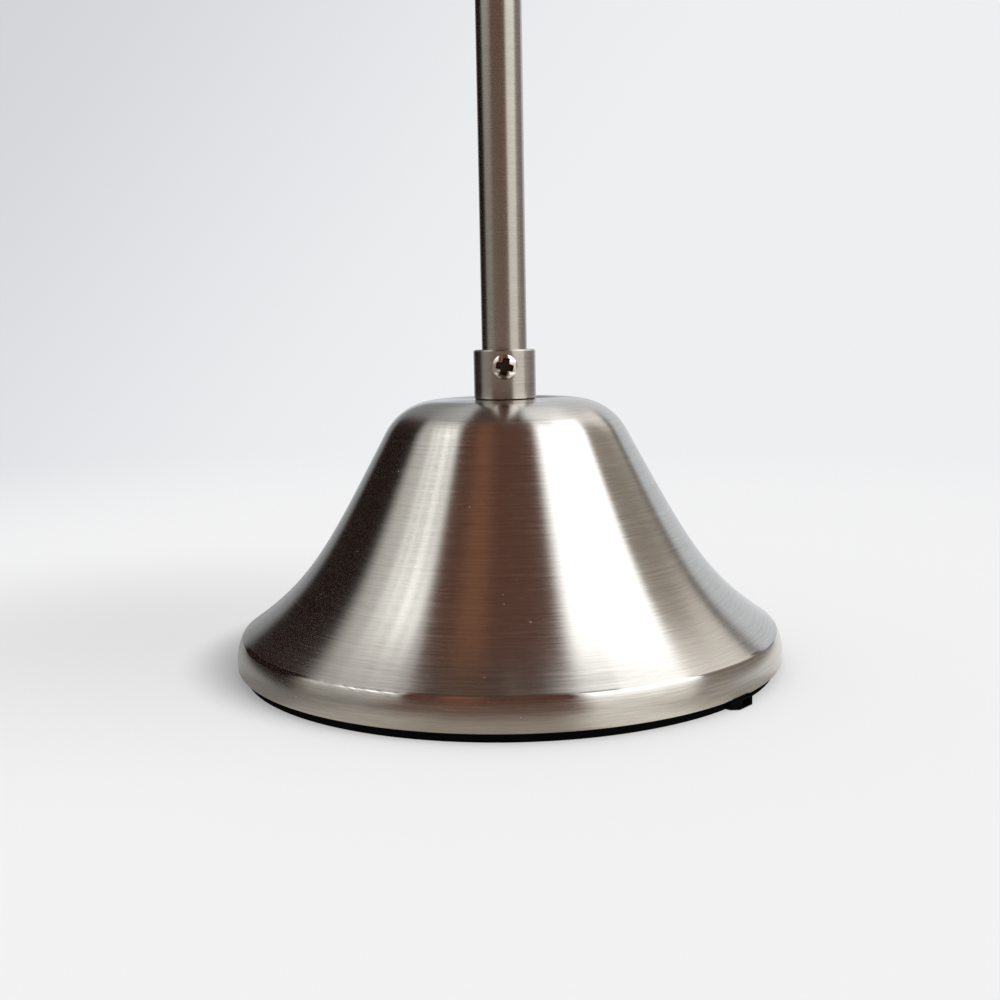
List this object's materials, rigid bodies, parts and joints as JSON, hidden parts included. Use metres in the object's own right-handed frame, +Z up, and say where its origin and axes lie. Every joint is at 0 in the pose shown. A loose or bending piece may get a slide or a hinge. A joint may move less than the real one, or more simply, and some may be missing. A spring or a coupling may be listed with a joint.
{
  "type": "pharmacy floor lamp",
  "caption": "Floor lamp with a weighted bell base, an adjustable slim pole and a swivelling, tilting arm with a half-round metal shade.",
  "frame": {"origin": "on the floor, under the middle of the base, on the underside of the rubber pad", "axes": "+Z up along the pole; +X the way the arm points at rest; the collar's screw and both knobs face -Y"},
  "size_m": [0.6345, 0.232, 1.1949],
  "materials": {
    "brushed_nickel": "brushed nickel plate on spun steel",
    "turned_nickel": "satin nickel plate on turned steel",
    "nickel_tube": "brushed nickel plate on steel tube",
    "hood_nickel": "brushed nickel outside, white enamel inside",
    "socket_nickel": "satin nickel plate on thin sheet",
    "bright_screw": "bright nickel plate",
    "zinc_steel": "bright zinc plate",
    "dark_steel": "blackened steel",
    "cast_iron": "rough casting with black paint",
    "brass": "plain turned brass",
    "black_rubber": "matt black rubber",
    "black_nylon": "moulded black nylon",
    "phenolic": "moulded dark brown phenolic",
    "fibre_sleeve": "plain fibre board",
    "bulb_cap": "rolled screw thread",
    "white_plastic": "moulded white plastic",
    "frosted_globe": "frosted diffuser"
  },
  "bodies": {
    "stand": {"base_shell": "brushed_nickel", "base_weight": "cast_iron", "bottom_plate": "zinc_steel", "plate_screws": "zinc_steel", "base_pad": "black_rubber", "cord_gland": "black_rubber", "tie_rod": "zinc_steel", "tie_washer": "zinc_steel", "tie_nut": "brass", "shell_washer": "zinc_steel", "shell_nut": "brass", "base_collar": "turned_nickel", "collar_screw": "bright_screw", "lower_pole": "nickel_tube", "clamp_collar": "turned_nickel", "clamp_collar_screw": "bright_screw", "guide_bush": "black_nylon", "clamp_shoe": "brass"},
    "height_knob": {"height_knob": "turned_nickel", "height_screw": "zinc_steel"},
    "mast": {"mast_tube": "nickel_tube", "mast_guide": "black_nylon", "mast_cap": "turned_nickel", "swivel_washer": "black_nylon"},
    "head": {"swivel_head": "turned_nickel", "swivel_spindle": "zinc_steel", "spindle_washer": "black_nylon", "spindle_nut": "brass", "pivot_bolt": "bright_screw", "tilt_washers": "black_nylon", "knob_washer": "black_nylon"},
    "tilt_knob": {"tilt_knob": "turned_nickel"},
    "arm": {"arm_tongue": "turned_nickel", "arm_tube": "nickel_tube", "arm_ferrule": "turned_nickel", "arm_grub_screws": "dark_steel", "shade_washer": "black_nylon"},
    "shade": {"shade_nipple": "zinc_steel", "shade_clip": "dark_steel", "shade_lock_nuts": "turned_nickel", "hood": "hood_nickel", "socket_cap": "socket_nickel", "socket_core": "phenolic", "socket_shell": "socket_nickel", "socket_sleeve": "fibre_sleeve", "screw_shell": "brass", "centre_contact": "brass", "bulb_base": "bulb_cap", "bulb_housing": "white_plastic", "bulb_globe": "frosted_globe", "led_board": "white_plastic", "stem_bush": "turned_nickel", "stem_bush_nut": "turned_nickel"},
    "switch": {"switch_cam": "phenolic", "switch_stem": "zinc_steel", "switch_knob": "turned_nickel"}
  },
  "joints": [
    {"name": "mast_height", "type": "slide", "parent": "stand", "child": "mast", "axis": [0, 0, 1], "range_m": [-0.28, 0.13]},
    {"name": "height_knob_turn", "type": "hinge", "parent": "stand", "child": "height_knob", "pos_m": [0, -0.03, 0.7091], "axis": [0, -1, 0], "range_deg": [-180, 360]},
    {"name": "arm_swing", "type": "hinge", "parent": "mast", "child": "head", "pos_m": [0, 0, 1.0886], "axis": [0, 0, 1], "range_deg": [-170, 170]},
    {"name": "arm_tilt", "type": "hinge", "parent": "head", "child": "arm", "pos_m": [0, 0, 1.1236], "axis": [0, -1, 0], "range_deg": [-35, 60]},
    {"name": "tilt_knob_turn", "type": "hinge", "parent": "head", "child": "tilt_knob", "pos_m": [0, -0.018, 1.1236], "axis": [0, -1, 0], "range_deg": [-180, 360]},
    {"name": "shade_roll", "type": "hinge", "parent": "arm", "child": "shade", "pos_m": [0.294, 0, 1.1236], "axis": [1, 0, 0], "range_deg": [-120, 120]},
    {"name": "switch_turn", "type": "hinge", "parent": "shade", "child": "switch", "pos_m": [0.3485, 0, 1.1836], "axis": [0, 0, 1], "continuous": true}
  ]
}
